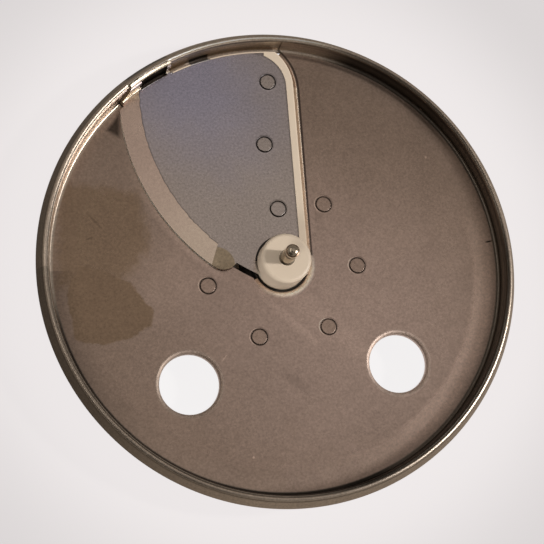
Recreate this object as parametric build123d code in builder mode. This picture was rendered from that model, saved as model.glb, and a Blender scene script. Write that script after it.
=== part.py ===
from build123d import *
from math import acos, atan2, cos, degrees, hypot, radians, sin
import os

# A food processor's slicing disc: a pressed steel dish with a rolled rim, a plastic hub and
# blade arm riveted under it, and a sickle blade that hooks over the rim.
# Millimetres, +Z up. The origin is on the disc's axis, on the surface that the hub's boss stands on.
# +Y runs along the straight rear edge of the blade.

# Plate
rim_diameter = 178.0
floor_height = 14.0  # upper face of the floor above the standing surface
plate_sheet = 0.8
rim_overhang = 4.6  # from the wall's inner face out to the hem
wall_fillet = 1.0
rim_rise = 8.2  # top of the rim above the floor
crown_bend = 0.5  # inside radius of the crown
skirt_slope = 27.0  # degrees between the skirt and the upright
hem_length = 2.0

# Finger holes
finger_radius = 10.8
finger_circle = 56.3
finger_bisector = -87.15  # degrees, direction half-way between the two holes
finger_spread = 87.3  # degrees between them
finger_bend = 0.7  # inside radius of the turned-down edge
finger_flange = 1.1  # straight length below the bend

# Hub and its flange
hub_radius = 9.3
hub_rise = 9.7  # top of the hub above the floor
hub_rounding = 1.5
hub_gap = 0.9  # between the hub and the steel round it
flange_radius = 34.5
flange_thickness = 4.5
boss_radius = 15.0
web_thickness = 2.0  # webs between the boss and the flange
web_depth = 5.0
web_margin = 3.0  # from the webs' outer ends to the flange's edge

# Drive socket
socket_radius = 5.0
socket_depth = 12.0
socket_roof = 3.0  # plastic between the socket and the pin's seat
dog_slot_width = 3.0
dog_slot_depth = 4.0

# Locating pin
pin_radius = 2.5
pin_rise = 11.7  # tip of the pin above the hub's top
pin_root_radius = 3.0  # thicker end that is held in the hub
pin_recess = 0.1  # from the hub's top down to the root
pin_flat = 0.3  # radius of the flat on the round nose

# Blade, most of its edges being arcs about one centre
blade_centre_x = 25.3
centre_setback = 20.8  # from the wall's radius in to the centre, along Y
blade_thickness = 1.0
blade_lift = 1.0  # underside of the blade above the floor
bevel_width = 7.4
edge_land = 0.1  # thickness left at the cutting edge
tip_radius = 5.65  # rounded inner end of the ground strip
tip_angle = 231.8  # degrees about the blade's centre
bevel_end = 1.4  # degrees from the middle of the tip back to the end of the bevel
bevel_overrun = 10.0  # degrees that the grinding runs on past the wall
tip_grind_radius = 6.85
tip_grind_depth = 0.85
tip_grind_inset = 0.6  # from the cutting edge in to the middle of the tip's grinding

# Outer tab of the blade, bent up the wall and over the crown
tab_start = 116.4  # degrees about the disc's axis
tab_sweep = 15.45
tab_slant = 3.6  # how much narrower the tab is at its top
tab_bend = 0.5
hook_wrap = 70.0  # degrees of the crown that the hook covers
window_offset = 1.0  # degrees from the start of the tab to its window
window_sweep = 7.9
window_inset = 2.0  # from the wall in to the window's lower edge
window_bridge = 1.0  # height of the hook left above the window

# Blade arm with its raised rib and lip
rear_gap = 0.5  # between the arm's rear face and the turned-down edge of the plate
arm_depth = 4.0  # underside of the arm below the floor
arm_end_gap = 1.9  # between the arm's outer end and the rim's wall
arm_setback = 10.6  # from the cutting edge back to the arm's front
arm_corner = 18.0
arm_corner_setback = 15.4  # from the wall's radius in to the corner's centre, along Y
rib_width = 2.7
rib_corner = 13.0
rib_corner_setback = 15.4
rib_end_x = -0.7  # where the broad rib gives way to the thin lip
rib_stand = 0.2  # rib above the blade's upper face
bed_gap = 0.1  # between the blade's edge and the rib or lip
lip_width = 0.4
notch_start = 105.0  # gap in the lip, degrees about the disc's axis
notch_sweep = 5.6
lip_stop = 0.6  # degrees from the end of the lip to the tab

# Opening in the plate
throat_setback = 4.1  # from the cutting edge back to the opening's front edge
opening_inset = 1.2  # from the rim's wall in to the opening
rear_bend = 1.0  # inside radius of the turned-down edge
rear_flange = 0.4  # straight length below the bend
hub_lip_sweep = 152.0  # degrees round the hub
lip_clearance = 0.4  # under the turned-down edge

# Rivets
rivet_shank = 1.6
rivet_step = 0.3  # from the shank out to the foot of the countersink
rivet_flare = 1.3  # from there out to the head's edge
rivet_tail = 2.9
rivet_tail_height = 1.0
hub_rivet_inset = 5.75  # from the flange's edge
hub_rivet_first_angle = 51.4
hub_rivet_turn_angle = -54.2  # from each rivet to the next
hub_rivet_count = 5
outer_rivet_setback = 14.05  # from the wall's radius in to the blade's outer rivet, along Y
middle_rivet_x = -3.2
middle_rivet_y = 45.6
inner_rivet_y = 20.5

# Levels and places that follow from the above
rim_radius = rim_diameter / 2
wall_radius = rim_radius - rim_overhang
crown_radius = crown_bend + plate_sheet
rear_turn = rear_bend + plate_sheet
finger_turn = finger_bend + plate_sheet
floor_under = floor_height - plate_sheet
blade_under = floor_height + blade_lift
blade_top = blade_under + blade_thickness
rib_top = blade_top + rib_stand
hub_top = floor_height + hub_rise
flange_under = floor_under - flange_thickness
arm_under = floor_height - arm_depth
pin_foot = socket_depth + socket_roof
pocket_floor = floor_height - rear_turn - rear_flange - lip_clearance
crown_r = wall_radius + crown_radius
crown_z = floor_height + rim_rise - crown_radius
hub_opening = hub_radius + hub_gap
arm_rear = hub_opening - rear_gap
arm_corner_x = arm_rear - arm_corner
arm_corner_y = wall_radius - arm_corner_setback
arm_outer_radius = wall_radius - arm_end_gap
rib_corner_y = wall_radius - rib_corner_setback
opening_radius = wall_radius - opening_inset
bed_rear = arm_rear - rib_width
bed_outer_radius = arm_outer_radius - lip_width
tab_bend_r = wall_radius - tab_bend - blade_thickness
tab_bend_z = blade_top + tab_bend
window_radius = wall_radius - window_inset
hook_radius = crown_radius + blade_thickness
hook_top = crown_z + hook_radius
window_top = hook_top - window_bridge
slant_run = wall_radius * radians(tab_slant)
rivet_neck = rivet_shank + rivet_step
rivet_head = rivet_neck + rivet_flare
hub_rivet_circle = flange_radius - hub_rivet_inset
blade_rivet_places = (
    (0, wall_radius - outer_rivet_setback),
    (middle_rivet_x, middle_rivet_y),
    (0, inner_rivet_y),
)
far = 2 * rim_diameter  # longer than anything that is cut
hanging = (Align.CENTER, Align.CENTER, Align.MAX)  # placed by the middle of its upper face


def upright(angle, place=(0, 0)):
    """Upright plane through a place, its first direction pointing at an angle."""
    turn = radians(angle)
    return Plane((place[0], place[1], 0), x_dir=(cos(turn), sin(turn), 0), z_dir=(sin(turn), -cos(turn), 0))


def on_circle(radius, angle, place=(0, 0)):
    """Place on a circle about another place."""
    return (place[0] + radius * cos(radians(angle)), place[1] + radius * sin(radians(angle)))


def wedge(start, sweep, mode):
    """Keep a wedge about the disc's axis in the sketch, or take it out."""
    Polygon((0, 0), on_circle(far, start), on_circle(far, start + sweep), align=None, mode=mode)


def turned_down_edge(edge, bend, flange):
    """Section of a sheet edge that is bent down, from the end of the flat to the flange at edge."""
    turn = bend + plate_sheet
    straight = floor_height - turn
    back = edge + plate_sheet
    with BuildLine() as outline:
        CenterArc((edge + turn, straight), turn, 90, 90)
        Polyline((edge, straight), (edge, straight - flange), (back, straight - flange), (back, straight))
        CenterArc((edge + turn, straight), bend, 180, -90)
        Line((edge + turn, straight + bend), (edge + turn, floor_height))
    make_face(outline.edges())


def rivet_section(head, neck, tail):
    """Half section of a flush rivet: its head's top, the countersink's foot and the tail's seat."""
    with BuildLine() as outline:
        Polyline((0, head), (rivet_head, head), (rivet_neck, neck), (rivet_shank, neck))
        Polyline((rivet_shank, neck), (rivet_shank, tail), (rivet_tail, tail))
        TangentArc((0, tail - rivet_tail_height), (rivet_tail, tail), tangent=(1, 0))
        Line((0, tail - rivet_tail_height), (0, head))
    make_face(outline.edges())


def front_of(rear, corner, corner_y):
    """Outline of everything in front of a straight rear edge with a rounded outer corner."""
    with BuildSketch() as outline:
        with Locations((rear, 0)):
            Rectangle(far, corner_y + corner, align=(Align.MAX, Align.MIN))
        fillet(outline.vertices().sort_by(lambda v: v.X + v.Y)[-1], corner)
        with Locations((-hub_radius, 0)):
            Rectangle(far, far, align=(Align.MAX, Align.MAX))
    return outline.sketch


# The cutting edge is an arc about the blade's centre that ends where the tab meets the wall
blade_centre = (blade_centre_x, wall_radius - centre_setback)
blade_axis = Axis((blade_centre[0], blade_centre[1], 0), (0, 0, 1))
edge_end = on_circle(wall_radius, tab_start + tab_sweep)
edge_reach = (edge_end[0] - blade_centre[0], edge_end[1] - blade_centre[1])
edge_radius = hypot(edge_reach[0], edge_reach[1])
edge_end_angle = degrees(atan2(edge_reach[1], edge_reach[0])) % 360
bevel_start = tip_angle - bevel_end
bevel_sweep = bevel_start - edge_end_angle + bevel_overrun
bevel_radius = edge_radius - bevel_width
bevel_slope = (blade_thickness - edge_land) / bevel_width
inner_edge_radius = edge_radius - tip_radius
throat_radius = edge_radius - throat_setback
arm_front_radius = edge_radius - arm_setback

# Outlines of the opening, of the arm, of the blade's bed and of the blade with its tab's foot
corner_reach = arm_corner + rear_gap + rear_turn
opening_front = front_of(hub_opening + rear_turn, corner_reach, arm_corner_y)
arm_front = front_of(arm_rear, arm_corner, arm_corner_y)
with BuildSketch() as opening:
    with Locations(blade_centre):
        Circle(throat_radius)
    Circle(opening_radius, mode=Mode.INTERSECT)
    add(opening_front, mode=Mode.INTERSECT)
    Circle(hub_opening + rear_turn)
with BuildSketch() as arm:
    with Locations(blade_centre):
        Circle(arm_front_radius)
    Circle(arm_outer_radius, mode=Mode.INTERSECT)
    add(arm_front, mode=Mode.INTERSECT)


def bed_outline(gap):
    """Outline of the bed that the blade lies in, a gap smaller all round."""
    broad = front_of(bed_rear - gap, rib_corner - gap, rib_corner_y)
    with BuildSketch() as outline:
        Circle(bed_outer_radius - gap)
        with Locations((rib_end_x - gap, 0)):
            Rectangle(far, far, align=(Align.MAX, Align.MIN), mode=Mode.INTERSECT)
        add(broad)
        Circle(bed_outer_radius - gap, mode=Mode.INTERSECT)
    return outline.sketch


bed = bed_outline(0)
blade_bed = bed_outline(bed_gap)
with BuildSketch() as blade_limit:
    Circle(tab_bend_r)
    wedge(tab_start, tab_sweep, Mode.INTERSECT)
    add(blade_bed)

# Rivet places and finger holes
hub_rivet_angles = [hub_rivet_first_angle + hub_rivet_turn_angle * i for i in range(hub_rivet_count)]
hub_rivet_places = [on_circle(hub_rivet_circle, angle) for angle in hub_rivet_angles]
finger_angles = (finger_bisector - finger_spread / 2, finger_bisector + finger_spread / 2)
finger_places = [on_circle(finger_circle, angle) for angle in finger_angles]

# The skirt slopes out from the crown to a folded hem, which is two sheets thick
skirt_out = (cos(radians(skirt_slope)), sin(radians(skirt_slope)))
skirt_x = crown_r + crown_radius * skirt_out[0]
skirt_z = crown_z + crown_radius * skirt_out[1]
skirt_length = (rim_radius - plate_sheet * (1 - skirt_out[0]) - skirt_x) / skirt_out[1]


def skirt(depth, down):
    """Point at a depth under the skirt's outer face and a distance down from the crown."""
    return (
        skirt_x - depth * skirt_out[0] + down * skirt_out[1],
        skirt_z - depth * skirt_out[1] - down * skirt_out[0],
    )


floor_edge = wall_radius - wall_fillet
fillet_z = floor_height + wall_fillet
wall_back = wall_radius + plate_sheet
corner_from_axis = hypot(arm_corner_x, arm_corner_y)
corner_turn = degrees(
    atan2(arm_corner_y, arm_corner_x)
    - acos(
        (opening_radius**2 - corner_from_axis**2 - corner_reach**2) / (2 * corner_from_axis * corner_reach)
    )
)
with BuildPart() as disc_plate:
    with BuildSketch(Plane.XZ):
        with BuildLine():
            Line((0, floor_height), (floor_edge, floor_height))
            CenterArc((floor_edge, fillet_z), wall_fillet, -90, 90)
            Line((wall_radius, fillet_z), (wall_radius, crown_z))
            CenterArc((crown_r, crown_z), crown_radius, 180, skirt_slope - 180)
            Line(skirt(0, 0), skirt(0, skirt_length))
            CenterArc(skirt(plate_sheet, skirt_length), plate_sheet, skirt_slope, -180)
            Polyline(
                skirt(2 * plate_sheet, skirt_length),
                skirt(2 * plate_sheet, skirt_length - hem_length),
                skirt(plate_sheet, skirt_length - hem_length),
                skirt(plate_sheet, 0),
            )
            CenterArc((crown_r, crown_z), crown_radius - plate_sheet, skirt_slope, 180 - skirt_slope)
            Line((wall_back, crown_z), (wall_back, fillet_z))
            CenterArc((floor_edge, fillet_z), wall_fillet + plate_sheet, 0, -90)
            Polyline((floor_edge, floor_under), (0, floor_under), (0, floor_height))
        make_face()
    revolve(axis=Axis.Z)
    # Opening for the hub and the arm, and the two finger holes
    with BuildSketch(Plane.XY.offset(floor_under)):
        add(opening.sketch)
        with Locations(*finger_places):
            Circle(finger_radius + finger_turn)
    extrude(amount=plate_sheet, mode=Mode.SUBTRACT)
    # Edge turned down behind the arm, round its outer corner and round the hub
    with BuildSketch(Plane.XZ):
        turned_down_edge(hub_opening, rear_bend, rear_flange)
    extrude(amount=-arm_corner_y)
    with BuildSketch(upright(0, (arm_corner_x, arm_corner_y))):
        turned_down_edge(arm_corner + rear_gap, rear_bend, rear_flange)
    revolve(axis=Axis((arm_corner_x, arm_corner_y, 0), (0, 0, 1)), revolution_arc=corner_turn)
    with BuildSketch(upright(-hub_lip_sweep)):
        turned_down_edge(hub_opening, rear_bend, rear_flange)
    revolve(axis=Axis.Z, revolution_arc=hub_lip_sweep)
    # Edges of the finger holes
    for place in finger_places:
        with BuildSketch(upright(0, place)):
            turned_down_edge(finger_radius, finger_bend, finger_flange)
        revolve(axis=Axis((place[0], place[1], 0), (0, 0, 1)))
    with Locations(*[(x, y, floor_height) for x, y in hub_rivet_places]):
        Cone(rivet_neck, rivet_head, plate_sheet, align=hanging, mode=Mode.SUBTRACT)

with BuildPart() as blade_carrier:
    # Flange, with room for the plate's turned-down edge
    with BuildSketch(Plane.XY.offset(flange_under)):
        Circle(flange_radius)
    extrude(amount=flange_thickness)
    with BuildSketch(Plane.XY.offset(pocket_floor)):
        add(opening.sketch)
    extrude(amount=floor_under - pocket_floor, mode=Mode.SUBTRACT)
    # Throat that the slices fall through
    with BuildSketch(Plane.XY.offset(flange_under)):
        with Locations(blade_centre):
            Circle(throat_radius)
            Circle(arm_front_radius, mode=Mode.SUBTRACT)
        Rectangle(far, far, align=(Align.MAX, Align.CENTER), mode=Mode.INTERSECT)
        Circle(hub_opening, mode=Mode.SUBTRACT)
    extrude(amount=flange_thickness, mode=Mode.SUBTRACT)
    # Boss below, with webs half-way between the rivets
    with BuildSketch():
        Circle(boss_radius)
    extrude(amount=flange_under)
    for angle in hub_rivet_angles[1:]:
        with BuildSketch(upright(angle - hub_rivet_turn_angle / 2)):
            Polygon(
                (socket_radius, flange_under),
                (socket_radius, flange_under - web_depth),
                (boss_radius, flange_under - web_depth),
                (flange_radius - web_margin, flange_under),
                align=None,
            )
        extrude(amount=web_thickness / 2, both=True)
    # Arm, and the rib and lip that stand up round the blade's bed
    with BuildSketch(Plane.XY.offset(arm_under)):
        add(arm.sketch)
    extrude(amount=blade_under - arm_under)
    with BuildSketch(Plane.XY.offset(blade_under)):
        add(arm.sketch)
        add(bed, mode=Mode.SUBTRACT)
        wedge(notch_start, notch_sweep, Mode.SUBTRACT)
        wedge(tab_start - lip_stop, tab_sweep, Mode.SUBTRACT)
    extrude(amount=rib_top - blade_under)
    # Hub
    with BuildSketch(Plane.XY.offset(flange_under)):
        Circle(hub_radius)
    extrude(amount=hub_top - flange_under)
    fillet(edges().filter_by(GeomType.CIRCLE).group_by(Axis.Z)[-1], hub_rounding)
    # Seat of the pin, drive socket with its dog slot, and rivet holes
    with BuildSketch(Plane.XY.offset(pin_foot)):
        Circle(pin_root_radius)
    extrude(amount=hub_top - pin_foot, mode=Mode.SUBTRACT)
    with BuildSketch():
        Circle(socket_radius)
    extrude(amount=socket_depth, mode=Mode.SUBTRACT)
    with BuildSketch():
        Rectangle(2 * boss_radius, dog_slot_width)
    extrude(amount=dog_slot_depth, mode=Mode.SUBTRACT)
    with BuildSketch(Plane.XY.offset(flange_under)):
        with Locations(*hub_rivet_places, *blade_rivet_places):
            Circle(rivet_shank)
    extrude(amount=blade_under - flange_under, mode=Mode.SUBTRACT)

with BuildPart() as slicing_blade:
    # Flat sector, widened by the ground strip with its rounded tip
    with BuildSketch(Plane.XY.offset(blade_under)):
        with Locations(blade_centre):
            Circle(edge_radius)
            Rectangle(far, far, rotation=tip_angle, align=(Align.MIN, Align.MAX), mode=Mode.INTERSECT)
            Circle(inner_edge_radius)
        with Locations(on_circle(inner_edge_radius, tip_angle, blade_centre)):
            Circle(tip_radius)
        add(blade_limit.sketch, mode=Mode.INTERSECT)
        Circle(hub_opening, mode=Mode.SUBTRACT)
    extrude(amount=blade_thickness)
    # Bevel ground about the blade's centre, and the tip ground again
    with BuildSketch(upright(bevel_start, blade_centre)):
        Polygon(
            (bevel_radius, blade_top),
            (2 * edge_radius - bevel_radius, blade_top - 2 * bevel_slope * bevel_width),
            (2 * edge_radius - bevel_radius, blade_top),
            align=None,
        )
    revolve(axis=blade_axis, revolution_arc=-bevel_sweep, mode=Mode.SUBTRACT)
    tip_grind = on_circle(edge_radius - tip_grind_inset, tip_angle, blade_centre)
    with Locations((tip_grind[0], tip_grind[1], blade_top)):
        Cone(0, tip_grind_radius, tip_grind_depth, align=hanging, mode=Mode.SUBTRACT)
    # Tab bent up the wall and hooked over the crown
    with BuildSketch(upright(tab_start)):
        with BuildLine():
            Polyline((window_radius, blade_top), (window_radius, blade_under), (tab_bend_r, blade_under))
            CenterArc((tab_bend_r, tab_bend_z), tab_bend + blade_thickness, -90, 90)
            Line((wall_radius, tab_bend_z), (wall_radius, crown_z))
            CenterArc((crown_r, crown_z), crown_radius, 180, -hook_wrap)
            Line(
                on_circle(crown_radius, 180 - hook_wrap, (crown_r, crown_z)),
                on_circle(hook_radius, 180 - hook_wrap, (crown_r, crown_z)),
            )
            CenterArc((crown_r, crown_z), hook_radius, 180 - hook_wrap, hook_wrap)
            Line((crown_r - hook_radius, crown_z), (crown_r - hook_radius, tab_bend_z))
            CenterArc((tab_bend_r, tab_bend_z), tab_bend, 0, -90)
            Line((tab_bend_r, blade_top), (window_radius, blade_top))
        make_face()
    revolve(axis=Axis.Z, revolution_arc=tab_sweep)
    # Window at the bend
    with BuildSketch(upright(tab_start + window_offset)):
        Polygon(
            (window_radius, blade_under),
            (rim_radius, blade_under),
            (rim_radius, window_top),
            (window_radius, window_top),
            align=None,
        )
    revolve(axis=Axis.Z, revolution_arc=window_sweep, mode=Mode.SUBTRACT)
    # Slanted end of the tab
    with BuildSketch(upright(tab_start + tab_sweep + 90, edge_end)):
        Polygon((0, blade_under), (far, blade_under), (far, hook_top), (-slant_run, hook_top), align=None)
    extrude(amount=window_inset, both=True, mode=Mode.SUBTRACT)
    with Locations(*[(x, y, blade_top) for x, y in blade_rivet_places]):
        Cone(rivet_neck, rivet_head, blade_thickness, align=hanging, mode=Mode.SUBTRACT)

with BuildPart() as locating_pin:
    with BuildSketch(Plane.XY.offset(pin_foot)):
        Circle(pin_root_radius)
    extrude(amount=hub_top - pin_recess - pin_foot)
    with BuildSketch(Plane.XY.offset(pin_foot)):
        Circle(pin_radius)
    extrude(amount=hub_top + pin_rise - pin_foot)
    fillet(edges().filter_by(GeomType.CIRCLE).sort_by(Axis.Z)[-1], pin_radius - pin_flat)

with BuildPart() as hub_rivets:
    for place in hub_rivet_places:
        with BuildSketch(upright(0, place)):
            rivet_section(floor_height, floor_under, flange_under)
        revolve(axis=Axis((place[0], place[1], 0), (0, 0, 1)))

with BuildPart() as blade_rivets:
    for place in blade_rivet_places:
        tail = flange_under if hypot(place[0], place[1]) < flange_radius else arm_under
        with BuildSketch(upright(0, place)):
            rivet_section(blade_top, blade_under, tail)
        revolve(axis=Axis((place[0], place[1], 0), (0, 0, 1)))

os.makedirs("parts", exist_ok=True)
disc_plate.part.label = "disc_plate"
export_step(disc_plate.part, "parts/disc_plate.step")
blade_carrier.part.label = "blade_carrier"
export_step(blade_carrier.part, "parts/blade_carrier.step")
slicing_blade.part.label = "slicing_blade"
export_step(slicing_blade.part, "parts/slicing_blade.step")
blade_rivets.part.label = "blade_rivets"
export_step(blade_rivets.part, "parts/blade_rivets.step")
hub_rivets.part.label = "hub_rivets"
export_step(hub_rivets.part, "parts/hub_rivets.step")
locating_pin.part.label = "locating_pin"
export_step(locating_pin.part, "parts/locating_pin.step")
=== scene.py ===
"""Looks of a food processor's slicing disc: finishes, turned details, stage and camera."""

from math import radians

import bmesh
import bpy
import numpy as np
from bpy.props import FloatProperty, FloatVectorProperty, PointerProperty
from mathutils import Matrix, Vector


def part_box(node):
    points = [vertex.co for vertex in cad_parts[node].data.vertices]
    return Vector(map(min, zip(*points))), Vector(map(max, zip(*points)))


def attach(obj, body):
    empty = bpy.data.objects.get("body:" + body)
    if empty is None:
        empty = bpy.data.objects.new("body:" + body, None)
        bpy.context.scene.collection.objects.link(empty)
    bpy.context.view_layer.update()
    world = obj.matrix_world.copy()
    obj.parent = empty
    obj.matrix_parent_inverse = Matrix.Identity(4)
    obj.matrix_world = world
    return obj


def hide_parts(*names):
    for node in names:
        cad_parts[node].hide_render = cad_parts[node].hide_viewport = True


bl_info = {
    "name": "Slicing disc",
    "version": (1, 0, 0),
    "blender": (4, 5, 0),
    "location": "3D View > Sidebar > Disc",
    "description": "Finishes and small turned parts of a food processor's slicing disc",
    "category": "Object",
}

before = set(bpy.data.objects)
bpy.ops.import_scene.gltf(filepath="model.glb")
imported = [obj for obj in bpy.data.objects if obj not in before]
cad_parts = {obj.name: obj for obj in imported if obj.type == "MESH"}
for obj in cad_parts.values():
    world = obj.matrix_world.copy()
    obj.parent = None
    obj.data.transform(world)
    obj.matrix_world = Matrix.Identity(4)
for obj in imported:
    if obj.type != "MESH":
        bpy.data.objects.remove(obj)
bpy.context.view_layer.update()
MM = 0.001
FAR = 1000.0

# Places on the disc, in millimetres: rivets, finger holes, and the outlines of the stain and its tinge.
HUB_CIRCLE, HOLE_CIRCLE = 28.75, 56.3
HUB_TURNS, HOLE_TURNS = np.radians(51.4 - 54.2 * np.arange(5)), np.radians((-130.8, -43.5))
HUB_RIVETS = [(HUB_CIRCLE * np.cos(turn), HUB_CIRCLE * np.sin(turn)) for turn in HUB_TURNS]
FINGER_HOLES = [(HOLE_CIRCLE * np.cos(turn), HOLE_CIRCLE * np.sin(turn)) for turn in HOLE_TURNS]
BLADE_RIVETS = [(0.0, 70.35), (-3.2, 45.6), (0.0, 20.5)]
STAIN = [
    (-76.2, -25.2), (-65.8, -27.5), (-55.0, -24.4), (-48.8, -21.0), (-48.5, -15.6),
    (-55.8, -5.0), (-67.9, 0.9), (-74.0, 2.2), (-78.5, -7.2),
]
TINGE = [(-82.0, -6.0), (-58.0, -4.0), (-48.0, 8.0), (-51.0, 29.0), (-79.0, 33.0)]

# Centres of the disc, of the blade's edge and of the round ends of the arm and its rib.
MIDDLE = (0.0, 0.0, 0.0)
EDGE_CENTRE = (25.3, 63.6, 0.0)
ARM_BEND = (-8.3, 69.0, 0.0)
RIB_BEND = (-6.0, 69.0, 0.0)

# Line of painted shade in the gap round a rivet's head, its raised lip, and the groove of the pin: inward, and down
# from its top.
HEAD_LINE, HEAD_LIP = 2.95, 3.35
PIN_GROOVE = [(0.0, 3.35), (-0.03, 3.42), (-0.16, 3.5), (-0.16, 3.8), (-0.03, 3.88), (0.0, 3.95)]
PIN_SHOULDER = 11.8
RIVET_SEGMENTS, PIN_SEGMENTS = 64, 96

# Rim: steps between the floor's corners, the skirt's slope, and the crown's groove in degrees and depth.
RIM_STEPS = 4
SKIRT_SLOPE = 27.0
GROOVE_TURN, GROOVE_DEPTH, GROOVE_INNER, GROOVE_OUTER = 113.0, 0.28, 9.0, 16.0
SHARP_ANGLE = 35.0
JOIN_DISTANCE, EDGE_DISTANCE = 0.002, 0.01
STEEL_ROUGHNESS = 0.26

# Lamps: name, turn and rise in degrees, width in metres, watts, and shine alone or matt light alone.
LAMP_DISTANCE, LAMP_COLOUR = 1.2, (1.0, 0.98, 0.95)
LAMPS = [
    ("key", -5.0, 45.0, 0.12, 10.0, False),
    ("fill", -135.0, 25.0, 0.6, 8.0, False),
    ("glint", -18.0, 33.0, 0.65, 9.0, True),
]

# Camera of the photograph, in millimetres in the disc's own frame.
EYE, TARGET, UPRIGHT = (-105.8, -111.6, 482.6), (0.0, 0.0, 14.0), (0.0823, 0.9966, 0.0)
LENS, SENSOR, SHIFT_X, SHIFT_Y = 88.86, 36.0, -0.01768, -0.01480

# Room: way to a soft patch of light or dark, cosines where it starts and is full, and its colour.
WALL_LOW, WALL_HIGH = (0.30, 0.27, 0.235), (0.21, 0.19, 0.17)
GLOW = ((0.14, 0.10, 0.985), 0.93, 0.99, (0.47, 0.43, 0.395))
DARK_PATCHES = [
    ((-0.58, -0.73, 0.34), 0.75, 0.92, (0.06, 0.055, 0.05)),
    ((-0.21, -0.22, 0.952), 0.955, 0.99, (0.02, 0.02, 0.02)),
]
WINDOW = ((-0.966, 0.259, 0.0), 0.38, 0.45, (2.2, 2.05, 1.85))
WINDOW_RISE = (0.78, 0.87, 0.03)

# Table: half its side in metres, then rounds of it in millimetres: centre, and radii of a step.
TABLE_SIDE = 6.0
FADE, FADE_SHARE = ((2.0, 5.0), 92.0, 150.0), 0.82
SHADOW, SHADOW_COLOUR = ((4.0, 4.0), 66.0, 60.0), (0.03, 0.025, 0.02)
SPOTS, SPOT_COLOUR = [((-33.0, -39.0), 15.0, 13.0), ((45.0, -35.0), 15.0, 13.0)], (0.93, 0.91, 0.91)
TABLE_MATT, TABLE_GLOW = (0.28, 0.25, 0.22), 0.94

# Painted dark reflection: a triangle on the plate beside the blade's tab, where the bevel and tab are mirrored
NOTCH_DARK_REFLECTION = [(-56.5, 58.4), (-61.4, 52.3), (-56.8, 49.7)]

# Marks on the plate, some of them painted highlights and painted light: centre, reach, turn, wander, softness and
# how much lighter or darker.
MARKS_AND_SHEEN = [
    # Painted highlight: the lamp's streak running out from the hub
    ((18.5, -26.5), (28.0, 4.2), -42.0, 0.5, 0.8, 0.1),
    ((2.0, -44.0), (6.0, 1.8), -44.0, 0.9, 0.6, -0.14),
    ((-23.8, -34.0), (1.6, 0.25), 50.0, 0.2, 0.5, 0.4),
    ((-69.5, 11.6), (1.4, 0.35), 20.0, 0.5, 0.5, -0.3),
    ((-67.0, 17.6), (4.0, 0.45), -50.0, 1.2, 0.5, -0.2),
    ((81.4, 6.2), (1.4, 0.3), 10.0, 0.2, 0.4, -0.9),
    # Painted light: the right side of the dish made lighter
    ((50.0, 0.0), (52.0, 44.0), 0.0, 0.3, 0.7, 0.18),
    ((-42.0, -4.0), (12.0, 12.0), 0.0, 0.5, 0.8, 0.14),
    # Painted highlight: the part of the lamp's streak by the hub
    ((2.5, -21.7), (13.5, 1.5), -44.4, 0.3, 0.8, 0.16),
    ((59.9, 40.2), (0.4, 0.4), 0.0, 0.0, 0.4, 0.9),
    ((-15.9, -69.9), (0.4, 0.4), 0.0, 0.0, 0.4, 0.9),
]

# Bands of the plate that are lighter or darker, almost all of them painted light and shade: amount, then limits of
# named values.
# Two bounds make a step from the first to the second, and a third number makes a soft band of them.
RIM = ("radius", 82.6, 83.4)
WALL = (RIM, ("height", 21.4, 20.6), ("radius", 85.4, 85.0))
FAR_CROWN = (("angle", 75.0, 130.0, 6.0), ("height", 20.6, 20.9))
LIGHT_AND_SHADE_BANDS = [
    # Floor: darker toward the rim on the far left, painted light along the right by the rim, a painted reflection
    # beside the bevel and a dark painted reflection by the far wall
    (-0.25, ("radius", 74.0, 83.0), ("angle", -125.0, -165.0)),
    (0.32, ("radius", 74.0, 81.2, 1.2), ("angle", -65.0, 5.0, 18.0)),
    (0.3, ("edge radius", 81.2, 83.6, 1.4), ("edge angle", -160.0, -128.0, 12.0)),
    (-0.45, ("radius", 81.3, 82.5, 0.5), ("angle", 34.0, 84.0, 8.0)),
    # Inner wall: painted shade and dark reflections on the wall, the fillet and the crown's inner side
    (-0.8, *WALL, ("angle", -75.0, 72.0, 6.0)),
    (-0.55, RIM, ("radius", 85.7, 84.9), ("height", 18.0, 20.0), ("angle", -85.0, 70.0, 12.0)),
    (-0.75, *WALL, ("height", 16.0, 15.0), ("angle", -178.0, -165.0), ("angle", -60.0, -75.0)),
    (-0.75, RIM, ("radius", 84.95, 84.75), ("angle", -165.0, -70.0, 8.0)),
    # Painted shade in the dark places behind the blade's tab
    (-0.82, RIM, ("angle", 115.9, 127.5, 0.3), ("height", 20.8, 20.2)),
    (-0.8, RIM, ("angle", 105.2, 110.4, 0.2), ("height", 16.6, 16.2)),
    # Crown: painted shade on its inner side at the right, a painted highlight and a painted dark line on the far
    # side, and painted shade in its groove
    (-0.7, RIM, ("radius", 86.0, 85.5), ("height", 20.5, 21.2), ("angle", -80.0, 8.0, 10.0)),
    (1.4, *FAR_CROWN, ("radius", 84.95, 85.75, 0.12)),
    (-0.45, *FAR_CROWN, ("radius", 84.4, 84.7, 0.1)),
    (-0.75, ("radius", 85.0, 85.3, 0.15), ("height", 20.9, 21.2)),
    # Skirt: a line of painted shade below the crown and painted dark reflections on the left
    (-0.55, ("radius", 86.7, 87.1, 0.2), ("height", 21.9, 21.5)),
    (-0.6, ("radius", 86.6, 87.2), ("side", 95.0, 150.0)),
]


def colour_property(name, description, value):
    """Colour that the sidebar shows, in linear light."""
    return FloatVectorProperty(
        name=name, description=description, default=value, subtype="COLOR", size=3, min=0.0, max=1.0
    )


def length_property(name, description, millimetres):
    """Length that the sidebar shows, kept in metres."""
    return FloatProperty(name=name, description=description, default=millimetres * MM, unit="LENGTH", precision=5)


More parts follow.
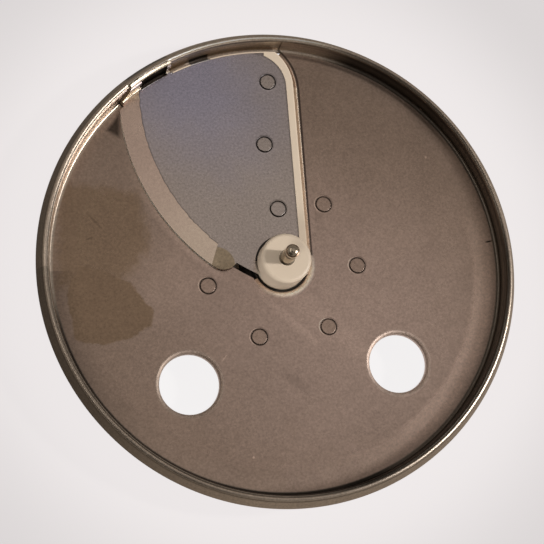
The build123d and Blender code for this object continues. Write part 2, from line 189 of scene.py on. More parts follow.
class DiscSizes(bpy.types.PropertyGroup):
    """Sizes that the small parts and the finishes share with the solids."""

    rim_radius: length_property("Rim radius", "Radius of the disc", 89.0)
    rim_start: length_property("Rim start", "Radius at which the floor starts to rise to the rim", 83.4)
    wall_radius: length_property("Wall radius", "Radius of the rim's inner wall", 84.4)
    crown_radius: length_property("Crown", "Radius of the rim's rolled crown", 1.3)
    rim_top: length_property("Rim top", "Top of the rim above the table", 22.2)
    hem_length: length_property("Hem", "Length of the folded hem", 2.0)
    sheet: length_property("Sheet", "Thickness of the plate", 0.8)
    floor_height: length_property("Floor height", "Upper face of the plate's floor above the table", 14.0)
    floor_under: length_property("Floor underside", "Under face of the plate's floor above the table", 13.2)
    blade_top: length_property("Blade top", "Upper face of the blade above the table", 16.0)
    flange_under: length_property("Flange underside", "Seat of the rivets' tails under the flange", 8.7)
    arm_under: length_property("Arm underside", "Seat of the rivets' tails under the arm", 10.0)
    rivet_head: length_property("Rivet head", "Radius of a rivet's countersink", 3.2)
    rivet_shank: length_property("Rivet shank", "Radius of a rivet's shank", 1.6)
    rivet_tail: length_property("Rivet tail", "Radius of a rivet's formed tail", 2.9)
    pin_radius: length_property("Pin radius", "Radius of the locating pin", 2.5)
    pin_root: length_property("Pin root", "Radius of the pin's root in the hub", 3.0)


class DiscColours(bpy.types.PropertyGroup):
    """Colours of the finishes, in linear light; several of them are partly painted light, standing for reflections.
    """

    plate: colour_property("Plate", "Warm satin steel of the dish", (0.42, 0.315, 0.255))
    # Hazy middle of the dish: a film on the steel, with a painted sheen standing for the lamp's broad reflection
    haze_and_sheen: colour_property("Haze", "Greyer, hazier middle of the dish", (0.52, 0.395, 0.34))
    stain: colour_property("Stain", "Brown tinge of the stained side of the dish", (0.35, 0.248, 0.172))
    rim: colour_property("Rim", "Spun steel of the rim", (0.58, 0.49, 0.41))
    # Lip: pale colour painted on the lip by the hub, under the blade's edge, beside the arm and round the finger
    # holes, standing for reflected light
    lip: colour_property("Lip", "Rubbed edge round the hub and behind the arm", (0.92, 0.84, 0.74))
    blade: colour_property("Blade", "Steel of the blade", (0.575, 0.50, 0.465))
    cool: colour_property("Cool", "Cooler outer part of the blade", (0.52, 0.50, 0.63))
    bevel: colour_property("Bevel", "Ground steel of the bevel by the rim", (0.87, 0.675, 0.575))
    # Bevel end: the ground bevel painted lighter toward the hub, standing for its brighter reflection there
    bevel_end_sheen: colour_property("Bevel end", "Ground steel of the bevel by the hub", (0.97, 0.80, 0.66))
    # Tip: ground steel of the tip, its olive and darker tone standing for the tip's darker reflection
    tip: colour_property("Tip", "Olive tinge of the ground tip", (0.50, 0.40, 0.285))
    # Tab: the blade's steel painted lighter on its hook over the rim and on its underside, standing for reflected
    # light
    tab: colour_property("Tab", "Steel of the blade's hook over the rim", (0.72, 0.62, 0.50))
    rivet: colour_property("Rivet", "Steel of the rivets", (0.50, 0.375, 0.31))
    pin: colour_property("Pin", "Steel of the pin", (0.62, 0.53, 0.42))
    plastic: colour_property("Plastic", "Cream plastic of the hub and the arm", (0.63, 0.525, 0.415))
    ground: colour_property("Table", "Pale table and backdrop", (0.868, 0.828, 0.828))


class Nodes:
    """Short ways to add and join the nodes of one tree."""

    def __init__(self, tree):
        self.tree = tree

    def add(self, kind, **settings):
        """New node of a kind, with its settings."""
        made = self.tree.nodes.new(kind)
        for name, value in settings.items():
            setattr(made, name, value)
        return made

    def feed(self, socket, value):
        """Link from an output, or a plain value, into a socket."""
        if isinstance(value, bpy.types.NodeSocket):
            self.tree.links.new(value, socket)
        else:
            socket.default_value = value

    def math(self, operation, first, second=0.0):
        made = self.add("ShaderNodeMath", operation=operation)
        self.feed(made.inputs[0], first)
        self.feed(made.inputs[1], second)
        return made.outputs[0]

    def vector(self, operation, first, second=(0.0, 0.0, 0.0)):
        made = self.add("ShaderNodeVectorMath", operation=operation)
        self.feed(made.inputs[0], first)
        self.feed(made.inputs[1], second)
        return made

    def noise(self, place, scale, detail=2.0, roughness=0.5):
        made = self.add("ShaderNodeTexNoise")
        self.feed(made.inputs["Vector"], place)
        made.inputs["Scale"].default_value = scale
        made.inputs["Detail"].default_value = detail
        made.inputs["Roughness"].default_value = roughness
        return made.outputs["Fac"]

    def span(self, value, low, high, first=0.0, last=1.0):
        """Value carried from low..high to first..last along a smooth step."""
        made = self.add("ShaderNodeMapRange", interpolation_type="SMOOTHSTEP")
        self.feed(made.inputs["Value"], value)
        self.feed(made.inputs["From Min"], low)
        self.feed(made.inputs["From Max"], high)
        made.inputs["To Min"].default_value = first
        made.inputs["To Max"].default_value = last
        return made.outputs["Result"]

    def blend(self, factor, first, second):
        made = self.add("ShaderNodeMix", data_type="RGBA")
        self.feed(made.inputs["Factor"], factor)
        for socket, value in ((made.inputs[6], first), (made.inputs[7], second)):
            self.feed(socket, value if isinstance(value, bpy.types.NodeSocket) else (*value, 1.0))
        return made.outputs[2]

    def part(self, vector, axis):
        """One coordinate of a vector."""
        made = self.add("ShaderNodeSeparateXYZ")
        self.feed(made.inputs[0], vector)
        return made.outputs[axis]

    def scaled(self, colour, factor):
        """Colour made darker or lighter by a factor."""
        made = self.add("ShaderNodeVectorMath", operation="SCALE")
        self.feed(made.inputs[0], colour)
        self.feed(made.inputs["Scale"], factor)
        return made.outputs[0]

    def line(self, value):
        """Vector that changes with one value alone."""
        made = self.add("ShaderNodeCombineXYZ")
        self.feed(made.inputs[0], value)
        return made.outputs[0]

    def both(self, first, *others):
        """Product of masks."""
        for mask in others:
            first = self.math("MULTIPLY", first, mask)
        return first

    def most(self, first, *others):
        """Greatest of several masks."""
        for mask in others:
            first = self.math("MAXIMUM", first, mask)
        return first

    def added(self, base, mask, amount):
        """Base with an amount of a mask added."""
        return self.math("ADD", base, self.math("MULTIPLY", mask, amount))

    def less(self, mask):
        """One less a mask."""
        return self.math("SUBTRACT", 1.0, mask)

    def between(self, value, low, high, soft):
        """One from low to high and nought outside, with a soft step at each end."""
        return self.both(self.span(value, low - soft, low + soft), self.span(value, high + soft, high - soft))

    def shade(self, tone, mask, amount):
        """Tone made lighter or darker by an amount where a mask is one."""
        return self.math("MULTIPLY", tone, self.added(1.0, mask, amount))

    def within(self, values, limits):
        """Product of the steps and bands that limit named values."""
        return self.both(*(
            self.between(values[name], *bounds) if len(bounds) == 3 else self.span(values[name], *bounds)
            for name, *bounds in limits
        ))

    def group(self, tree, **values):
        made = self.add("ShaderNodeGroup", node_tree=tree)
        for name, value in values.items():
            self.feed(made.inputs[name.replace("_", " ")], value)
        return made.outputs


def shader_group(name, inputs, outputs):
    """Empty shader group with named sockets; gives its short ways, its inputs and its output node."""
    tree = bpy.data.node_groups.new(name, "ShaderNodeTree")
    for label, kind in inputs:
        tree.interface.new_socket(label, in_out="INPUT", socket_type=kind)
    for label, kind in outputs:
        tree.interface.new_socket(label, in_out="OUTPUT", socket_type=kind)
    nodes = Nodes(tree)
    return nodes, nodes.add("NodeGroupInput").outputs, nodes.add("NodeGroupOutput").inputs


def place_group():
    """Place in millimetres, its height, and the radius and angle about a centre."""
    nodes, given, out = shader_group(
        "Place on the disc",
        [("Centre", "NodeSocketVector")],
        [
            ("Place", "NodeSocketVector"), ("Height", "NodeSocketFloat"),
            ("Radius", "NodeSocketFloat"), ("Angle", "NodeSocketFloat"),
        ],
    )
    coordinates = nodes.add("ShaderNodeTexCoord").outputs["Object"]
    scaled = nodes.scaled(coordinates, 1.0 / MM)
    moved = nodes.vector("SUBTRACT", scaled, given["Centre"]).outputs[0]
    flat = nodes.vector("MULTIPLY", moved, (1.0, 1.0, 0.0)).outputs[0]
    turn = nodes.math("ARCTAN2", nodes.part(flat, 1), nodes.part(flat, 0))
    nodes.feed(out["Place"], scaled)
    nodes.feed(out["Height"], nodes.part(scaled, 2))
    nodes.feed(out["Radius"], nodes.vector("LENGTH", flat).outputs["Value"])
    nodes.feed(out["Angle"], nodes.math("DEGREES", turn))
    return nodes.tree


def patch_group():
    """Soft oval patch with a wandering edge: one inside, nought outside."""
    nodes, given, out = shader_group(
        "Soft patch",
        [
            ("Place", "NodeSocketVector"), ("Centre", "NodeSocketVector"), ("Reach", "NodeSocketVector"),
            ("Turn", "NodeSocketFloat"), ("Wander", "NodeSocketFloat"), ("Softness", "NodeSocketFloat"),
        ],
        [("Mask", "NodeSocketFloat")],
    )
    moved = nodes.vector("SUBTRACT", given["Place"], given["Centre"]).outputs[0]
    turned = nodes.add("ShaderNodeVectorRotate", rotation_type="Z_AXIS")
    nodes.feed(turned.inputs["Vector"], moved)
    nodes.feed(turned.inputs["Angle"], nodes.math("MULTIPLY", given["Turn"], -1.0))
    shrunk = nodes.vector("DIVIDE", turned.outputs[0], given["Reach"]).outputs[0]
    flat = nodes.vector("MULTIPLY", shrunk, (1.0, 1.0, 0.0)).outputs[0]
    away = nodes.vector("LENGTH", flat).outputs["Value"]
    roam = nodes.math("SUBTRACT", nodes.noise(given["Place"], 0.11, 4.0, 0.6), 0.5)
    away = nodes.math("ADD", away, nodes.math("MULTIPLY", roam, given["Wander"]))
    inner = nodes.math("SUBTRACT", 1.0, given["Softness"])
    outer = nodes.math("ADD", 1.0, given["Softness"])
    nodes.feed(out["Mask"], nodes.less(nodes.span(away, inner, outer)))
    return nodes.tree


def ring_group():
    """Thin soft ring about a centre: one on its line, nought past its half width."""
    nodes, given, out = shader_group(
        "Thin ring",
        [
            ("Place", "NodeSocketVector"), ("Centre", "NodeSocketVector"),
            ("Radius", "NodeSocketFloat"), ("Width", "NodeSocketFloat"),
        ],
        [("Mask", "NodeSocketFloat")],
    )
    moved = nodes.vector("SUBTRACT", given["Place"], given["Centre"]).outputs[0]
    flat = nodes.vector("MULTIPLY", moved, (1.0, 1.0, 0.0)).outputs[0]
    length = nodes.vector("LENGTH", flat).outputs["Value"]
    away = nodes.math("ABSOLUTE", nodes.math("SUBTRACT", length, given["Radius"]))
    nodes.feed(out["Mask"], nodes.less(nodes.span(away, 0.0, given["Width"])))
    return nodes.tree


def satin_group():
    """Rubbed steel: slow clouds, a fine speckle and the height of its grain."""
    nodes, given, out = shader_group(
        "Satin steel",
        [("Place", "NodeSocketVector")],
        [("Cloud", "NodeSocketFloat"), ("Speckle", "NodeSocketFloat"), ("Height", "NodeSocketFloat")],
    )
    cloud = nodes.noise(given["Place"], 0.05, 5.0, 0.6)
    speckle = nodes.noise(given["Place"], 1.25, 2.0, 0.7)
    fine = nodes.noise(given["Place"], 4.0, 2.0, 0.6)
    nodes.feed(out["Cloud"], nodes.math("SUBTRACT", cloud, 0.5))
    nodes.feed(out["Speckle"], nodes.math("SUBTRACT", speckle, 0.5))
    nodes.feed(out["Height"], fine)
    return nodes.tree


def new_material(name, metallic, roughness):
    """Material with one Principled shader and its constants on the shader's own sockets."""
    material = bpy.data.materials.new(name)
    material.use_nodes = True
    nodes = Nodes(material.node_tree)
    shader = material.node_tree.nodes["Principled BSDF"]
    shader.inputs["Metallic"].default_value = metallic
    shader.inputs["Roughness"].default_value = roughness
    return material, nodes, shader


def bump(nodes, shader, height, strength, distance):
    """Relief on the shader's normal, its height in millimetres."""
    made = nodes.add("ShaderNodeBump")
    made.inputs["Strength"].default_value = strength
    made.inputs["Distance"].default_value = distance * MM
    nodes.feed(made.inputs["Height"], height)
    nodes.feed(shader.inputs["Normal"], made.outputs["Normal"])


def grooves(nodes, groups, place, centres, radius, width):
    """One mask for the like rings about several centres."""
    total = 0.0
    for centre in centres:
        ring = nodes.group(groups["ring"], Place=place, Centre=(*centre, 0.0), Radius=radius, Width=width)["Mask"]
        total = nodes.math("MAXIMUM", ring, total)
    return total


def patch(nodes, groups, place, centre, reach, turn, wander, softness):
    """Mask of one soft oval patch, its turn in degrees."""
    return nodes.group(
        groups["patch"], Place=place, Centre=(*centre, 0.0), Reach=(*reach, 1.0), Turn=radians(turn),
        Wander=wander, Softness=softness,
    )["Mask"]


def region(nodes, place, corners, soft, wander):
    """Mask of a convex outline, its corners anticlockwise, with a soft and wandering edge.

    Each side gives the depth inside its line, and the least depth is stepped from nought to one.
    """
    roam = nodes.add("ShaderNodeTexNoise")
    nodes.feed(roam.inputs["Vector"], place)
    roam.inputs["Scale"].default_value = 0.3
    roam.inputs["Detail"].default_value = 3.0
    shift = nodes.vector("SUBTRACT", roam.outputs["Color"], (0.5, 0.5, 0.5)).outputs[0]
    moved = nodes.vector("ADD", place, nodes.scaled(shift, wander)).outputs[0]
    start = np.asarray(corners, float)
    run = np.roll(start, -1, axis=0) - start
    inward = np.stack([-run[:, 1], run[:, 0]], axis=1) / np.linalg.norm(run, axis=1)[:, None]
    depth = FAR
    for point, way in zip(start, inward):
        away = nodes.vector("DOT_PRODUCT", moved, (*way, 0.0)).outputs["Value"]
        depth = nodes.math("MINIMUM", nodes.math("SUBTRACT", away, float(point @ way)), depth)
    return nodes.span(depth, -soft, soft)


def plate_colour(nodes, groups, colours, polar, edge, drift):
    """Colour of the plate: a hazy middle with painted sheen, stain, rim, and edges painted light as reflections;
    gives the stained mask and the mask of those painted edges too.
    """
    place, radius, angle, along = polar["Place"], polar["Radius"], polar["Angle"], nodes.part(polar["Place"], 1)
    # Painted sheen: the lighter middle of the dish stands for the lamp's broad reflection
    haze_and_sheen = patch(nodes, groups, place, (16.0, -24.0), (60.0, 48.0), -35.0, 0.5, 0.7)
    colour = nodes.blend(haze_and_sheen, tuple(colours.plate), tuple(colours.haze_and_sheen))
    spill = region(nodes, place, STAIN, 0.5, 3.0)
    zone = nodes.math("MULTIPLY", region(nodes, place, TINGE, 3.0, 6.0), 0.9)
    colour = nodes.blend(nodes.most(spill, zone), colour, tuple(colours.stain))
    colour = nodes.blend(nodes.span(radius, *RIM[1:]), colour, tuple(colours.rim))
    # Painted reflections: the lip by the hub mirrors the lit hub, the slit under the blade's edge is lightened, the
    # strip beside the arm mirrors the cream rib, and the finger holes' edges mirror the white below
    lip = nodes.both(nodes.between(radius, 10.6, 12.2, 0.9), nodes.between(angle, -125.0, 15.0, 40.0))
    slit = nodes.both(
        nodes.between(edge["Radius"], 77.0, 81.8, 0.2), nodes.between(edge["Angle"], -176.0, -128.0, 2.0)
    )
    beside = nodes.both(nodes.between(drift, 9.6, 11.1, 0.1), nodes.between(along, 2.0, 69.0, 0.6))
    holes = grooves(nodes, groups, place, FINGER_HOLES, 11.3, 1.6)
    sheen_edges = nodes.most(lip, slit, nodes.math("MULTIPLY", beside, 0.4), nodes.math("MULTIPLY", holes, 0.2))
    colour = nodes.blend(sheen_edges, colour, tuple(colours.lip))
    return colour, spill, nodes.most(slit, lip, holes)


def plate_tone(nodes, groups, polar, edge, satin, drift, spun):
    """How light the plate is: grain, marks and painted highlight streaks, painted shade in the gap behind the arm,
    painted glints and painted shade round the rivets, spun lines, and bands of painted light and shade.
    """
    place, along = polar["Place"], nodes.part(polar["Place"], 1)
    bend = nodes.group(groups["place"], Centre=ARM_BEND)
    tone = nodes.added(nodes.added(1.0, satin["Cloud"], 0.3), satin["Speckle"], 0.85)
    # Painted dark reflection beside the blade's tab
    tone = nodes.shade(tone, region(nodes, place, NOTCH_DARK_REFLECTION, 0.9, 0.8), -0.75)
    # Painted shade: a dark line in the gap between the arm and the plate's edge, along its straight run and round
    # its bend
    gap = nodes.both(nodes.between(drift, 11.15, 11.95, 0.12), nodes.between(along, 3.0, 69.0, 0.3))
    turn = nodes.both(
        nodes.between(bend["Radius"], 19.95, 20.75, 0.12), nodes.between(bend["Angle"], 0.0, 48.0, 1.0)
    )
    tone = nodes.shade(tone, nodes.most(gap, turn), -0.72)
    for centre, reach, way, wander, softness, amount in MARKS_AND_SHEEN:
        tone = nodes.shade(tone, patch(nodes, groups, place, centre, reach, way, wander, softness), amount)
    # Painted highlight: light crescents outside the hub rivets' rings, where their edges catch the lamp
    shine = grooves(nodes, groups, place, [(x - 0.45, y + 0.1) for x, y in HUB_RIVETS], 3.1, 0.3)
    tone = nodes.shade(tone, shine, 1.0)
    # Painted shade in the gap round each hub rivet's head
    tone = nodes.shade(tone, grooves(nodes, groups, place, HUB_RIVETS, HEAD_LINE, 0.55), -0.88)
    tone = nodes.shade(tone, spun, 1.3)
    values = {
        "radius": polar["Radius"], "angle": polar["Angle"], "height": polar["Height"],
        "side": nodes.math("ABSOLUTE", polar["Angle"]),
        "edge radius": edge["Radius"], "edge angle": edge["Angle"],
    }
    # Painted light and shade of the floor and the rim
    for amount, *limits in LIGHT_AND_SHADE_BANDS:
        tone = nodes.shade(tone, nodes.within(values, limits), amount)
    return tone


def plate_material(groups, colours):
    """Warm satin steel of the dish, with its stains, a hazy middle with painted sheen, small marks, painted
    highlight streaks, and painted light and shade on its floor and spun rim.
    """
    material, nodes, shader = new_material("plate_steel", 1.0, STEEL_ROUGHNESS)
    polar = nodes.group(groups["place"], Centre=MIDDLE)
    edge = nodes.group(groups["place"], Centre=EDGE_CENTRE)
    place, radius = polar["Place"], polar["Radius"]
    satin = nodes.group(groups["satin"], Place=place)
    rim = nodes.span(radius, *RIM[1:])
    drift = nodes.math("SUBTRACT", nodes.part(place, 0), nodes.math("MULTIPLY", nodes.part(place, 1), 0.009))
    section = nodes.math(
        "ADD", nodes.math("MULTIPLY", polar["Height"], 1.5), nodes.math("MULTIPLY", radius, 1.1)
    )
    spun = nodes.noise(nodes.line(section), 1.0, 1.0, 0.5)
    spun = nodes.both(nodes.math("SUBTRACT", spun, 0.5), rim)
    colour, spill, sheen_edges = plate_colour(nodes, groups, colours, polar, edge, drift)
    tone = plate_tone(nodes, groups, polar, edge, satin, drift, spun)
    nodes.feed(shader.inputs["Base Color"], nodes.scaled(colour, tone))
    rough = nodes.added(STEEL_ROUGHNESS, satin["Cloud"], 0.12)
    rough = nodes.added(nodes.added(rough, spill, 0.06), sheen_edges, 0.4)
    rough = nodes.math("ADD", rough, nodes.both(nodes.span(radius, 73.0, 82.0, 0.0, 0.2), nodes.less(rim)))
    nodes.feed(shader.inputs["Roughness"], nodes.added(rough, rim, 0.08))
    lips = nodes.math("MULTIPLY", grooves(nodes, groups, place, HUB_RIVETS, HEAD_LIP, 0.4), 0.04)
    grain = nodes.math("MULTIPLY", satin["Height"], nodes.span(radius, 83.0, 80.0, 0.0, 0.006))
    bump(nodes, shader, nodes.added(nodes.math("ADD", lips, grain), spun, 0.006), 1.0, 1.0)
    return material


def blade_material(groups, colours):
    """Blade steel: cool flat, tan ground bevel along its arc painted lighter toward the hub, an olive ground tip
    painted darker, painted light on its hook and underside, and painted shade by its rear edge, tip end and rivets.
    """
    material, nodes, shader = new_material("blade_steel", 1.0, STEEL_ROUGHNESS)
    arc = nodes.group(groups["place"], Centre=EDGE_CENTRE)
    disc = nodes.group(groups["place"], Centre=MIDDLE)
    bend = nodes.group(groups["place"], Centre=RIB_BEND)
    place, height = arc["Place"], arc["Height"]
    satin = nodes.group(groups["satin"], Place=place)
    far = patch(nodes, groups, place, (-34.0, 76.0), (25.0, 36.0), 40.0, 0.4, 0.8)
    flat = nodes.blend(far, tuple(colours.blade), tuple(colours.cool))
    wave = nodes.math("SUBTRACT", nodes.noise(place, 0.35, 3.0), 0.5)
    reach = nodes.math("ADD", arc["Radius"], wave)
    # Ground bevel, painted lighter toward the hub as a reflection
    strip = nodes.blend(
        nodes.span(arc["Angle"], -165.0, -131.0), tuple(colours.bevel), tuple(colours.bevel_end_sheen)
    )
    moved = nodes.vector("SUBTRACT", place, (-23.68, 7.17, 0.0)).outputs[0]
    across = nodes.vector("DOT_PRODUCT", moved, (0.942, -0.337, 0.0)).outputs["Value"]
    over = nodes.span(across, -0.15, 0.15)
    ground = nodes.both(nodes.span(reach, 73.95, 74.25), nodes.less(over))
    colour = nodes.blend(ground, flat, strip)
    away = nodes.math("ABSOLUTE", nodes.math("SUBTRACT", reach, 74.0))
    line = nodes.both(nodes.less(nodes.span(away, 0.05, 0.3)), nodes.less(over))
    # Painted reflection: the ground tip made olive and darker
    tip = patch(nodes, groups, place, (-24.6, -0.2), (6.9, 6.9), 0.0, 0.05, 0.02)
    colour = nodes.blend(nodes.both(tip, over), colour, tuple(colours.tip))
    # Painted reflection: the hook over the rim and the blade's underside are painted light
    colour = nodes.blend(nodes.span(disc["Radius"], 82.7, 83.1), colour, tuple(colours.tab))
    colour = nodes.blend(nodes.span(height, 15.06, 15.02), colour, tuple(colours.tab))
    tone = nodes.added(1.0, satin["Cloud"], 0.25)
    tone = nodes.math("ADD", tone, nodes.both(satin["Speckle"], nodes.span(ground, 0.0, 1.0, 1.0, 0.4)))
    tone = nodes.shade(tone, line, -0.5)
    # Painted shade: a dark line along the blade's rear edge beside the arm's rib
    straight = nodes.both(nodes.span(nodes.part(place, 0), 6.2, 6.8), nodes.span(nodes.part(place, 1), 70.0, 68.0))
    curve = nodes.both(nodes.span(bend["Radius"], 12.2, 12.8), nodes.between(bend["Angle"], 0.0, 85.0, 5.0))
    painted_edge_line = nodes.both(nodes.most(straight, curve), nodes.span(disc["Radius"], 83.0, 82.0))
    tone = nodes.shade(tone, painted_edge_line, -0.3)
    # Painted shade on the side of the blade's tip end, by the slot
    end = patch(nodes, groups, place, (-15.8, -1.3), (2.0, 2.0), 0.0, 0.0, 0.1)
    tone = nodes.shade(tone, nodes.both(end, nodes.span(height, 15.95, 15.85)), -0.85)
    # Painted shade in the gap round each blade rivet's head
    tone = nodes.shade(tone, grooves(nodes, groups, place, BLADE_RIVETS, HEAD_LINE, 0.55), -0.88)
    nodes.feed(shader.inputs["Base Color"], nodes.scaled(colour, tone))
    nodes.feed(shader.inputs["Roughness"], nodes.added(STEEL_ROUGHNESS, satin["Cloud"], 0.12))
    lips = nodes.math("MULTIPLY", grooves(nodes, groups, place, BLADE_RIVETS, HEAD_LIP, 0.4), 0.04)
    bump(nodes, shader, nodes.added(lips, satin["Height"], 0.006), 1.0, 1.0)
    return material


def plastic_material(groups, colours):
    """Cream moulded plastic with a faint mottle, a fine moulded grain and painted shade down in its gaps."""
    material, nodes, shader = new_material("cream_plastic", 0.0, 0.38)
    polar = nodes.group(groups["place"], Centre=MIDDLE)
    bend = nodes.group(groups["place"], Centre=ARM_BEND)
    place, radius, height = polar["Place"], polar["Radius"], polar["Height"]
    aside, along = nodes.part(place, 0), nodes.part(place, 1)
    mottle = nodes.noise(place, 0.12, 4.0, 0.6)
    tone = nodes.added(0.94, mottle, 0.12)
    # Painted shade: the flange's walls seen through the throat, and the ring round the hub below the blade
    low = nodes.both(nodes.span(height, 12.7, 12.2), nodes.span(height, 8.5, 8.6), nodes.span(radius, 15.4, 15.1))
    ring = nodes.both(nodes.span(radius, 9.32, 9.4), nodes.span(radius, 10.6, 10.4), nodes.span(height, 15.5, 15.3))
    tone = nodes.shade(tone, nodes.most(low, ring), -0.95)
    # Painted highlight: a light line along the top of the rib's right edge, where it catches the lamp
    straight = nodes.both(nodes.span(aside, 9.1, 9.4), nodes.span(along, 70.0, 68.0))
    curve = nodes.both(nodes.span(bend["Radius"], 17.4, 17.7), nodes.span(along, 68.0, 70.0))
    painted_edge_line = nodes.both(nodes.most(straight, curve), nodes.span(height, 15.8, 16.1), nodes.span(height, 16.6, 16.4))
    tone = nodes.shade(tone, painted_edge_line, 0.14)
    nodes.feed(shader.inputs["Base Color"], nodes.scaled(tuple(colours.plastic), tone))
    nodes.feed(shader.inputs["Roughness"], nodes.added(0.33, mottle, 0.14))
    bump(nodes, shader, nodes.noise(place, 3.5, 3.0), 0.15, 0.02)
    return material


def rivet_material(groups, colours):
    """Rivet steel, with painted shade in the gaps round the edges of the heads."""
    material, nodes, shader = new_material("rivet_steel", 1.0, 0.28)
    polar = nodes.group(groups["place"], Centre=MIDDLE)
    satin = nodes.group(groups["satin"], Place=polar["Place"])
    tone = nodes.added(nodes.added(1.0, satin["Cloud"], 0.3), satin["Speckle"], 0.9)
    # Painted shade round the edges of the heads
    ring = grooves(nodes, groups, polar["Place"], HUB_RIVETS + BLADE_RIVETS, HEAD_LINE, 0.6)
    tone = nodes.shade(tone, ring, -0.85)
    colour = nodes.blend(nodes.span(polar["Height"], 15.0, 15.3), tuple(colours.rivet), tuple(colours.blade))
    nodes.feed(shader.inputs["Base Color"], nodes.scaled(colour, tone))
    rough = nodes.added(0.28, satin["Speckle"], 0.15)
    nodes.feed(shader.inputs["Roughness"], nodes.added(rough, ring, 0.25))
    bump(nodes, shader, satin["Height"], 0.5, 0.01)
    return material


def pin_material(groups, colours):
    """Turned steel of the pin, its body painted darker than its nose to stand for darker reflections, and painted
    shade in its groove.
    """
    material, nodes, shader = new_material("pin_steel", 1.0, 0.2)
    polar = nodes.group(groups["place"], Centre=MIDDLE)
    stretched = nodes.vector("MULTIPLY", polar["Place"], (0.2, 0.2, 5.0)).outputs[0]
    rings = nodes.noise(stretched, 1.0, 3.0)
    tone = nodes.added(0.85, rings, 0.3)
    # Painted reflection: the body below the groove darker than the nose
    tone = nodes.math("MULTIPLY", tone, nodes.span(polar["Height"], 31.9, 31.4, 0.85, 0.7))
    # Painted shade in the groove
    tone = nodes.shade(tone, nodes.between(polar["Height"], 31.55, 31.95, 0.05), -0.6)
    nodes.feed(shader.inputs["Base Color"], nodes.scaled(tuple(colours.pin), tone))
    nodes.feed(shader.inputs["Roughness"], nodes.added(0.14, rings, 0.14))
    bump(nodes, shader, rings, 0.2, 0.02)
    return material


def even_turn(segments):
    """Equal steps round a full turn."""
    return np.linspace(0.0, 2.0 * np.pi, segments, endpoint=False)


def turned(profile, angle):
    """Surface of revolution: each point of the profile (radius, height) goes round the upright axis.

    Corner (i, j) lies at (r_i cos a_j, r_i sin a_j, z_i); neighbours make the four-sided faces.
    """
    profile = np.asarray(profile, float)
    segments = len(angle)
    radius = profile[:, 0][:, None]
    height = np.broadcast_to(profile[:, 1][:, None], (len(profile), segments))
    corners = np.stack([radius * np.cos(angle), radius * np.sin(angle), height], axis=-1).reshape(-1, 3)
    row, column = np.meshgrid(np.arange(len(profile) - 1), np.arange(segments), indexing="ij")
    after = (column + 1) % segments
    first, second = row * segments, (row + 1) * segments
    faces = np.stack([first + column, first + after, second + after, second + column], axis=-1).reshape(-1, 4)
    return corners, faces


def repeated(corners, faces, places):
    """Copies of one surface, moved to each place."""
    places = np.asarray(places, float)
    moved = (corners[None] + places[:, None]).reshape(-1, 3)
    stepped = (faces[None] + (np.arange(len(places)) * len(corners))[:, None, None]).reshape(-1, faces.shape[1])
    return moved, stepped


def arc(centre, radius, start, end, count=9):
    """Points of a profile's round corner, from one angle to another in degrees."""
    angle = np.radians(np.linspace(start, end, count))
    return np.stack([centre[0] + radius * np.cos(angle), centre[1] + radius * np.sin(angle)], axis=1)


def piece(name, corners, faces, material, slot, node):
    """Smooth mesh piece in metres that rides on the disc and stands for a node of the solids."""
    mesh = bpy.data.meshes.new(name)
    mesh.from_pydata((np.asarray(corners) * MM).tolist(), [], [list(face) for face in faces])
    close(mesh)
    mesh.polygons.foreach_set("use_smooth", np.ones(len(mesh.polygons), dtype=bool))
    mesh.set_sharp_from_angle(angle=radians(SHARP_ANGLE))
    mesh.materials.append(material)
    mesh.validate()
    made = bpy.data.objects.new(name, mesh)
    bpy.context.scene.collection.objects.link(made)
    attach(made, "root")
    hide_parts(node)
    return made


def close(mesh):
    """Join the doubled corners at seams and poles, and turn every face outward."""
    whole = bmesh.new()
    whole.from_mesh(mesh)
    bmesh.ops.remove_doubles(whole, verts=whole.verts, dist=JOIN_DISTANCE * MM)
    bmesh.ops.recalc_face_normals(whole, faces=whole.faces)
    whole.to_mesh(mesh)
    whole.free()


def even_shading(made):
    """Let a piece's broad faces lead its shading."""
    even = made.modifiers.new("even shading", "WEIGHTED_NORMAL")
    even.mode, even.weight, even.keep_sharp = "FACE_AREA", 90, True


def dress(node, material):
    """Finish on every slot of a node of the solids."""
    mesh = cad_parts[node].data
    mesh.materials.clear()
    mesh.materials.append(material)


def flat_part(node, radius):
    """Triangles of a node of the solids that lie within a radius, in millimetres."""
    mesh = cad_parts[node].data
    corners = np.empty(3 * len(mesh.vertices))
    mesh.vertices.foreach_get("co", corners)
    corners = corners.reshape(-1, 3) / MM
    mesh.calc_loop_triangles()
    faces = np.empty(3 * len(mesh.loop_triangles), dtype=int)
    mesh.loop_triangles.foreach_get("vertices", faces)
    faces = faces.reshape(-1, 3)
    inside = np.hypot(corners[:, 0], corners[:, 1]) < radius + 2.0 * EDGE_DISTANCE
    faces = faces[inside[faces].all(axis=1)]
    used, index = np.unique(faces, return_inverse=True)
    return corners[used], index.reshape(-1, 3)


def rim_angles(corners, radius, height):
    """Angles of the floor's corners on its outer circle, with each step between them cut into equal parts."""
    aside = abs(np.hypot(corners[:, 0], corners[:, 1]) - radius)
    on_edge = (aside < EDGE_DISTANCE) & (abs(corners[:, 2] - height) < EDGE_DISTANCE)
    around = np.arctan2(corners[on_edge, 1], corners[on_edge, 0]) % (2.0 * np.pi)
    around = np.unique(np.round(around, 5) % round(2.0 * np.pi, 5))
    step = np.diff(np.append(around, around[0] + 2.0 * np.pi))
    return (around[:, None] + step[:, None] * np.arange(RIM_STEPS) / RIM_STEPS).ravel()


